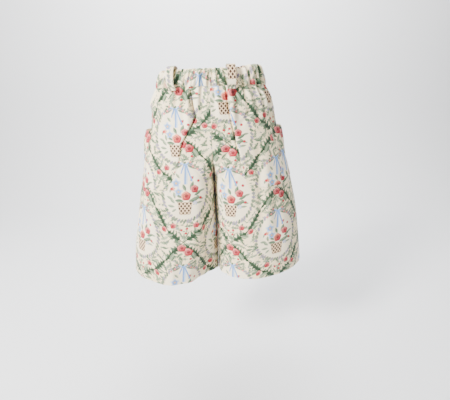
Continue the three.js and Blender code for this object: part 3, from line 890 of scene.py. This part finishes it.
# Where the print lies on the legs: a grain line down each front and back, and the part of
# the cloth outside the waist fold, which is drawn in over the part inside it.
GRAIN = {
    "left": ((-45, 42), (-260, 41), (-335, 46), (-500, 44), (-641, 46)),
    "right": ((-45, 80), (-250, 80), (-335, 83), (-400, 88), (-500, 103), (-571, 111), (-641, 117)),
}
BACK_GRAIN = 84.0
HIP_CENTRE = {"left": 45.0, "right": 99.0}
HIP_DOWN = {"left": 173.0, "right": 167.0}
TOP_SQUEEZE = 0.2
TOP_SQUEEZE_FROM = -252.0
HIP_SQUEEZE = 1.16
HIP_ENDS = -324.0
PRINT_DOWN = {"left": 346.0, "right": 327.0}
PRINT_LIFT = 25.0
PRINT_LIFT_ACROSS = (45, 120)
PRINT_LIFT_DOWN = (250, 380)


def corners_of(sheet):
    """Which point each corner of the sheet's faces stands on."""
    corner = np.empty(len(sheet.data.loops), int)
    sheet.data.loops.foreach_get("vertex_index", corner)
    return corner


def lay_print(sheet, print_x, print_y):
    """Lays the cloth's print on a sheet: places on the flat cloth in millimetres."""
    layer = sheet.data.uv_layers[0]
    layer.name = "cloth"
    corner = corners_of(sheet)
    if print_x.shape != corner.shape:
        print_x, print_y = print_x[corner], print_y[corner]
    layer.data.foreach_set("uv", (np.stack([print_x, print_y], axis=1) * MM).ravel())


def dress(sheet):
    """Gives a sheet the cotton's printed face outside and its paler reverse inside."""
    sheet.data.materials.append(cotton_face)
    sheet.data.materials.append(cotton_reverse)


# What each panel was cut from, in metres: width, length and area.
PANEL_CUT = {"front": (0.43, 0.69, 0.238), "back": (0.44, 0.69, 0.246)}

# The rows of a panel: down from the band to the fold of the hem, then up inside it.
panel_heights = []
for (high, steps), (low, _) in zip(ROWS, ROWS[1:]):
    panel_heights += list(np.linspace(high, low, steps, endpoint=False))
panel_rows = [(height, 0.0, height) for height in panel_heights]
for depth, inward in HEM_TURN:
    panel_rows.append((depth - LENGTH, -inward, -LENGTH - depth))

leg_panels = {}
for side_name, side in SIDES.items():
    for part in ("front", "back"):
        name = part + "_leg_" + side_name
        sheet, row, column = grid_sheet(name, PANEL_COLUMNS, len(panel_rows) - 1)
        points = np.empty((len(row), 3))
        leg_x, leg_y, hip_x, hip_y, beyond = (np.zeros(len(row)) for _ in range(5))
        for r, (z, inward, print_z) in enumerate(panel_rows):
            here = row == r
            girth = section(side_name, float(z))[1][-1]
            edge = SEAM_GAP / 2 / girth
            start, end = (0, side["seam"] - edge) if part == "front" else (side["seam"] + edge, 1)
            q = start + (end - start) * column[here] / PANEL_COLUMNS
            line = cloth_row(side_name, q, z, inward)
            if z <= -CROTCH_DEPTH:
                seam = (q == 0) | (q == 1)
                line[seam, 1] += (SEAM_GAP / 2) * (1 if part == "back" else -1)
            points[here] = line
            is_back = part == "back"
            grain_x = BACK_GRAIN if is_back else table_line(GRAIN[side_name], z)
            grain = reach_of(side_name, z, grain_x, is_back)
            off_grain = q * girth - grain
            leg_x[here] = side["x"] * off_grain
            lifted = smoothstep(off_grain, *PRINT_LIFT_ACROSS) * smoothstep(-z, *PRINT_LIFT_DOWN)
            squeezed = TOP_SQUEEZE * max(0, z - TOP_SQUEEZE_FROM)
            leg_y[here] = print_z + PRINT_DOWN[side_name] - PRINT_LIFT * lifted + squeezed
            if not is_back:
                hip = reach_of(side_name, z, HIP_CENTRE[side_name])
                hip_x[here] = side["x"] * (q * girth - hip + HALF_WIDTH)
                hip_y[here] = HALF_DROP + (z + HIP_DOWN[side_name]) * HIP_SQUEEZE
                fold = reach_of(side_name, z, table_line(FOLD_EDGE[side_name], z))
                beyond[here] = q * girth - fold if z > HIP_ENDS else -1
        corner = corners_of(sheet)
        is_hip = np.repeat(beyond[corner].reshape(-1, 4).mean(axis=1) > 0, 4)
        print_x = np.where(is_hip, hip_x[corner], leg_x[corner])
        lay_print(sheet, print_x, np.where(is_hip, hip_y[corner], leg_y[corner]))
        dress(sheet)
        hang(sheet, points)
        give_thickness(sheet, CLOTH, side["x"])
        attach(sheet, "root")
        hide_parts(part + "_" + side_name)
        leg_panels[name] = sheet

# One row of stitches holds each hem.
hem_height = HEM - LENGTH
for part in ("front", "back"):
    for side_name, side in SIDES.items():
        start, end = HEM_STITCHED
        if part == "front":
            end = side["seam"] - HEM_STITCH_CLEAR
        else:
            start = side["seam"] + HEM_STITCH_CLEAR

        def on_hem(share, out):
            return cloth_row(side_name, start + (end - start) * share, hem_height, out + STITCH_LIFT)

        length = (end - start) * section(side_name, hem_height)[1][-1]
        stitches = sew("hem_stitches_" + part + "_" + side_name, [(on_hem, length)])
        width, height, area = PANEL_CUT[part]
        leg_panels[part + "_leg_" + side_name]

# ==========================================================================================
# Waistband. A strip of the same cotton folded over 40 mm elastic, stitched to the top of the
# four panels and gathered up evenly by the elastic, so that it puffs between its gathers.

BAND_STEPS = 360
BAND_RISE = 9.0
BAND_PINCHES = 22
BAND_PINCH_DEPTH = 2.4
BAND_RIPPLES = 37
BAND_RIPPLE_DEPTH = 1.6
BAND_PRINT_ROUND = 520.0
BAND_PRINT_SHIFT = 34.0
BAND_PRINT_FOOT = 47.0
# The casing's section from its inner foot, over the top, to its outer foot: (out, z).
BAND_PROFILE = [
    (-3.2, -45.0), (-0.6, -41.0), (0.8, -33.0), (1.0, -22.0), (0.4, -11.0), (-1.8, -3.0),
    (-2.2, -0.8), (-1.4, 0.6), (0.0, 0.9), (1.3, 0.2), (2.6, -3.0), (4.2, -9.0),
    (5.0, -17.0), (5.0, -26.0), (4.2, -34.0), (2.4, -40.0), (0.6, -43.4), (-0.4, -45.0),
]


def smooth_path(stops, steps):
    """Points along a smooth curve through a few stops, `steps` between each two."""
    stops = np.asarray(stops, float)
    line = []
    for k in range(len(stops) - 1):
        before, a, b, after = (stops[min(max(j, 0), len(stops) - 1)] for j in range(k - 1, k + 3))
        for t in np.arange(steps) / steps:
            line.append(
                0.5 * (2 * a + (b - before) * t + (2 * before - 5 * a + 4 * b - after) * t * t
                       + (3 * a - before - 3 * b + after) * t ** 3)
            )
    line.append(stops[-1])
    return np.array(line)


band_profile = smooth_path(BAND_PROFILE, 2)
waistband, row, column = grid_sheet("waistband_casing", 2 * BAND_STEPS, len(band_profile) - 1)


def on_band(side_name, q, out, z):
    """Points on the casing's outside at the shares q: its profile with the puckers."""
    x = SIDES[side_name]["x"]
    pinch = np.sin(2 * math.pi * (BAND_PINCHES * q + 0.4 * np.sin(9 * q + x)))
    fine = np.sin(2 * math.pi * (BAND_RIPPLES * q + 0.5 * np.sin(7 * q)) + z / 9)
    puff = min(max((out + 2.2) / 6, 0), 1)
    puckers = (BAND_PINCH_DEPTH * pinch + BAND_RIPPLE_DEPTH * fine) * puff
    line = cloth_row(side_name, q, min(z, 0.0), out + puckers - 0.6)
    rise = 0.0
    if side_name == "left":
        rise = smoothstep(q, 0.15, 0.36) * (1 - smoothstep(q, 0.6, 0.85))
    line[:, 2] = z + 0.6 * pinch * (z > -6) + BAND_RISE * rise * smoothstep(z, -32, 0)
    return line


points = np.empty((len(row), 3))
print_x, print_y = np.empty(len(row)), np.empty(len(row))
profile_run = run_along(band_profile[::-1])
for r, (out, z) in enumerate(band_profile[::-1]):
    here = row == r
    turn = column[here] / BAND_STEPS
    print_x[here] = turn * BAND_PRINT_ROUND + BAND_PRINT_SHIFT
    print_y[here] = BAND_PRINT_FOOT + profile_run[r]
    left_side = turn <= 1
    for side_name, mine in (("left", left_side), ("right", ~left_side)):
        q = turn[mine] if side_name == "left" else 2 - turn[mine]
        points[np.flatnonzero(here)[mine]] = on_band(side_name, q, out, z)
corner = corners_of(waistband)
past_back = np.repeat(column[corner].reshape(-1, 4).mean(axis=1) > BAND_STEPS, 4)
lay_print(waistband, print_x[corner] - 2 * BAND_PRINT_ROUND * past_back, print_y[corner])
dress(waistband)
hang(waistband, points)
take_up(waistband)
bpy.ops.object.mode_set(mode="EDIT")
bpy.ops.mesh.select_all(action="SELECT")
bpy.ops.mesh.remove_doubles(threshold=0.00002)
bpy.ops.object.mode_set(mode="OBJECT")
give_thickness(waistband, CLOTH, -1)
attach(waistband, "root")
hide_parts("waistband")

# The seam that joins the casing to the panels, sewn through from outside.
BAND_STITCH = (3.4, -37.0)
BAND_STITCH_MARGIN = 0.002
casing_seams = []
for side_name in SIDES:
    def on_casing(share, out, side_name=side_name):
        q = BAND_STITCH_MARGIN + (1 - 2 * BAND_STITCH_MARGIN) * share
        return on_band(side_name, q, BAND_STITCH[0] + out, BAND_STITCH[1])

    casing_seams.append((on_casing, section(side_name, -BAND_HEIGHT / 2)[1][-1]))
casing_stitches = sew("casing_stitches", casing_seams)

# ==========================================================================================
# Belt loops. Narrow strips of the cotton with their edges folded in and stitched down, each
# tacked just under the waistband, standing off it, and tacked again inside its top edge.

LOOP_WIDTH = 23.0
LOOP_CLOTH = 2.2
LOOP_COLUMNS = 14
LOOPS = [
    dict(name="belt_loop_front_left", print_at=(-3, 2), side="left", back=False, away=57),
    dict(name="belt_loop_front_right", print_at=(70, 60), side="right", back=False, away=101),
    dict(name="belt_loop_back_left", print_at=(-50, 30), side="left", back=True, away=70),
    dict(name="belt_loop_back_right", print_at=(40, -20), side="right", back=True, away=70),
]
LOOP_PATH = [
    (1.0, -53.0), (1.6, -48.0), (7.6, -42.0), (11.4, -32.0), (12.2, -18.0), (11.0, -4.0),
    (8.0, 5.0), (2.0, 9.5), (-6.5, 9.0), (-12.5, 5.0), (-15.0, -3.0), (-15.0, -11.0),
]
LOOP_STAND = 7.2
LOOP_SEAM = 9.2
LOOP_STITCHED = (0.04, 0.94)
LOOP_STITCH_LIFT = 0.2

loop_line = smooth_path(LOOP_PATH, 6)
for loop in LOOPS:
    side = SIDES[loop["side"]]
    strip, row, column = grid_sheet(loop["name"] + "_strip", LOOP_COLUMNS, len(loop_line) - 1)
    across = (column / LOOP_COLUMNS - 0.5) * LOOP_WIDTH

    def loop_base(z):
        girth = section(loop["side"], z)[1][-1]
        share = loop["away"] / girth
        return on_section(loop["side"], np.array(1 - share if loop["back"] else share), z)

    outward = loop_base(-BAND_HEIGHT / 2)[1]
    sideways = np.array([-outward[1], outward[0]])
    points = np.empty((len(row), 3))
    for r, (out, z) in enumerate(loop_line[::-1]):
        here = row == r
        base = loop_base(float(min(z, 0.0)))[0]
        crown = 0.5 * (1 - (2 * across[here] / LOOP_WIDTH) ** 2)
        place = base + outward * (out + LOOP_STAND + crown)[:, None] + sideways * across[here][:, None]
        points[here] = np.stack([side["x"] * place[:, 0], place[:, 1], np.full(len(place), z)], axis=1)
    run = run_along(loop_line[::-1])
    lay_print(strip, side["x"] * across + loop["print_at"][0], loop["print_at"][1] - run[row])
    dress(strip)
    hang(strip, points)
    give_thickness(strip, LOOP_CLOTH, side["x"])
    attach(strip, "root")
    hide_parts(loop["name"])

    # A row of stitches along each folded edge.
    loop_seams = []
    for edge in (-1, 1):
        def on_loop(share, out, edge=edge):
            place_on = np.interp(share, (0, 1), LOOP_STITCHED)
            shares = np.linspace(0, 1, len(loop_line))
            outs, heights = (np.interp(place_on, shares, loop_line[:, k]) for k in (0, 1))
            rows = []
            for out_here, z in zip(outs, heights):
                base = loop_base(float(min(z, 0.0)))[0]
                place = base + outward * (out_here + LOOP_STAND + LOOP_STITCH_LIFT)
                place = place + sideways * edge * LOOP_SEAM
                rows.append((side["x"] * place[0], place[1], z))
            lines = np.array(rows)
            slope_out, slope_up = np.gradient(outs), np.gradient(heights)
            size = np.hypot(slope_out, slope_up) + 1e-9
            lift_out = (-slope_up / size)[:, None] * np.array([side["x"] * outward[0], outward[1], 0])
            lift_up = (slope_out / size)[:, None] * np.array([0, 0, 1.0])
            return lines - out * (lift_out + lift_up)

        loop_seams.append((on_loop, run[-1]))
    loop_stitches = sew(loop["name"] + "_stitches", loop_seams)

# ==========================================================================================
# Pockets. A square patch of the cotton over each side seam, its top edge hemmed and left
# open, its other edges turned in and topstitched to the panels below.

POCKET_TOP = -163.0
POCKET_BOTTOM = -312.0
POCKET_HALF_WIDTH = 73.0
POCKET_CORNER = 10.0
POCKET_CLEAR = 1.4
POCKET_MOUTH_FADE = 95.0
POCKET_COLUMNS = 90
POCKET_ROWS = 70
POCKET_SEAM = 4.0
POCKET_HEM = 22.0
POCKET_SIDE_SEAM = 145.0
POCKET_FOOT_SEAM = 136.0
POCKET_PRINT_IN = 30.0
POCKET_PRINT_TOP = -313.0


def on_pocket(side_name, across, heights, out):
    """Points of a pocket: across from -1 to 1, at the heights, `out` above its cloth."""
    side = SIDES[side_name]
    points = np.empty((len(heights), 3))
    for z in np.unique(heights):
        here = heights == z
        girth = section(side_name, float(z))[1][-1]
        q = side["seam"] + across[here] * POCKET_HALF_WIDTH / girth
        fade = 1 - smoothstep(POCKET_TOP - z, 0, POCKET_MOUTH_FADE)
        gape = side["gape"] * fade * np.maximum(1 - across[here] ** 2, 0) ** 1.5
        points[here] = cloth_row(side_name, q, z, POCKET_CLEAR + gape + out)
    return points


for side_name, side in SIDES.items():
    patch, row, column = grid_sheet("patch_pocket_" + side_name, POCKET_COLUMNS, POCKET_ROWS)
    across = 2 * column / POCKET_COLUMNS - 1
    height = POCKET_TOP + (POCKET_BOTTOM - POCKET_TOP) * row / POCKET_ROWS
    height = height + POCKET_CORNER * across ** 6 * (row / POCKET_ROWS) ** 8
    lay_print(patch, side["x"] * (across + 1) * POCKET_HALF_WIDTH - side["x"] * POCKET_PRINT_IN,
              height - POCKET_PRINT_TOP)
    dress(patch)
    hang(patch, on_pocket(side_name, across, height, 0.0))
    give_thickness(patch, CLOTH, side["x"])
    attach(patch, "root")
    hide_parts("pocket_" + side_name)

    # Stitches down both sides, along the foot and along the hem of the mouth.
    reach = 1 - POCKET_SEAM / POCKET_HALF_WIDTH
    foot = POCKET_BOTTOM + POCKET_SEAM + 1
    mouth = POCKET_TOP - POCKET_HEM
    pocket_seams = []
    for (x_from, z_from), (x_to, z_to), length in (
        ((-reach, POCKET_TOP), (-reach, foot), POCKET_SIDE_SEAM),
        ((-reach, foot), (reach, foot), POCKET_FOOT_SEAM),
        ((reach, POCKET_TOP), (reach, foot), POCKET_SIDE_SEAM),
        ((-reach, mouth), (reach, mouth), POCKET_FOOT_SEAM),
    ):
        def along_pocket(share, out, stops=(x_from, z_from, x_to, z_to)):
            x_from, z_from, x_to, z_to = stops
            x, z = x_from + (x_to - x_from) * share, z_from + (z_to - z_from) * share
            return on_pocket(side_name, x, z, out + STITCH_LIFT)

        pocket_seams.append((along_pocket, length))
    pocket_stitches = sew("pocket_stitches_" + side_name, pocket_seams)
    "front_leg_" + side_name
    "back_leg_" + side_name

# ==========================================================================================
# Studio: a pale floor that curves up into a wall behind, soft lamps and the camera.

CAMERA_PLACE = (0.030, -1.050, -0.061)
CAMERA_DOWN = 18.0
CAMERA_ROLL = -2.1
LENS = 26.64

lens = bpy.data.cameras.new("camera")
lens.lens = LENS
lens.sensor_width = 36.0
lens.dof.use_dof = False
camera = bpy.data.objects.new("camera", lens)
bpy.context.collection.objects.link(camera)
camera.matrix_world = (
    Matrix.Translation(CAMERA_PLACE)
    @ Matrix.Rotation(math.radians(90 - CAMERA_DOWN), 4, "X")
    @ Matrix.Rotation(math.radians(CAMERA_ROLL), 4, "Z")
)
bpy.context.scene.camera = camera

FLOOR_HEIGHT = -1.08
FLOOR_WIDTH = 14.0
FLOOR_AHEAD = 4.0
FLOOR_RUN = 10.0
WALL_BEHIND = 2.6
COVE = 0.9


def lamp(name, place, aim, size, power, colour=(1.0, 1.0, 1.0)):
    """A square soft lamp at a place, turned towards another."""
    light = bpy.data.lights.new(name, "AREA")
    light.shape = "SQUARE"
    light.size = size
    light.energy = power
    light.color = colour
    holder = bpy.data.objects.new(name, light)
    bpy.context.collection.objects.link(holder)
    holder.location = place
    holder.rotation_euler = (Vector(aim) - Vector(place)).to_track_quat("-Z", "Y").to_euler()
    return holder


lamp("key", (-2.0, -2.0, 1.45), (0, 0, -0.35), 0.7, 370, (1.0, 0.98, 0.94))
lamp("fill", (2.6, -1.4, 0.5), (0, 0, -0.35), 2.4, 20, (1.0, 0.985, 0.95))
lamp("overhead", (0, -0.2, 2.4), (0, 0, -0.3), 1.2, 50)
lamp("wall", (0, 1.2, 1.9), (0, 2.9, -0.2), 2.4, 215)

bpy.ops.object.select_all(action="DESELECT")
bpy.ops.mesh.primitive_grid_add(x_subdivisions=1, y_subdivisions=60, size=1)
floor = bpy.context.object
floor.name = "studio_floor"
for point in floor.data.vertices:
    run = (point.co.y + 0.5) * FLOOR_RUN
    flat = WALL_BEHIND - COVE + FLOOR_AHEAD
    turn = min(max((run - flat) / (COVE * math.pi / 2), 0), 1) * math.pi / 2
    up = max(run - flat - COVE * math.pi / 2, 0)
    point.co = (
        point.co.x * FLOOR_WIDTH,
        min(run, flat) - FLOOR_AHEAD + COVE * math.sin(turn),
        FLOOR_HEIGHT + COVE * (1 - math.cos(turn)) + up,
    )
bpy.ops.object.shade_smooth()
paint = bpy.data.materials.new("pale_paint")
paint.use_nodes = True
shader = paint.node_tree.nodes["Principled BSDF"]
shader.inputs["Base Color"].default_value = (0.74, 0.75, 0.77, 1)
shader.inputs["Roughness"].default_value = 0.9
floor.data.materials.append(paint)

world = bpy.data.worlds.new("studio_air")
world.use_nodes = True
world.node_tree.nodes["Background"].inputs["Color"].default_value = (0.86, 0.88, 0.92, 1)
world.node_tree.nodes["Background"].inputs["Strength"].default_value = 0.2
bpy.context.scene.world = world
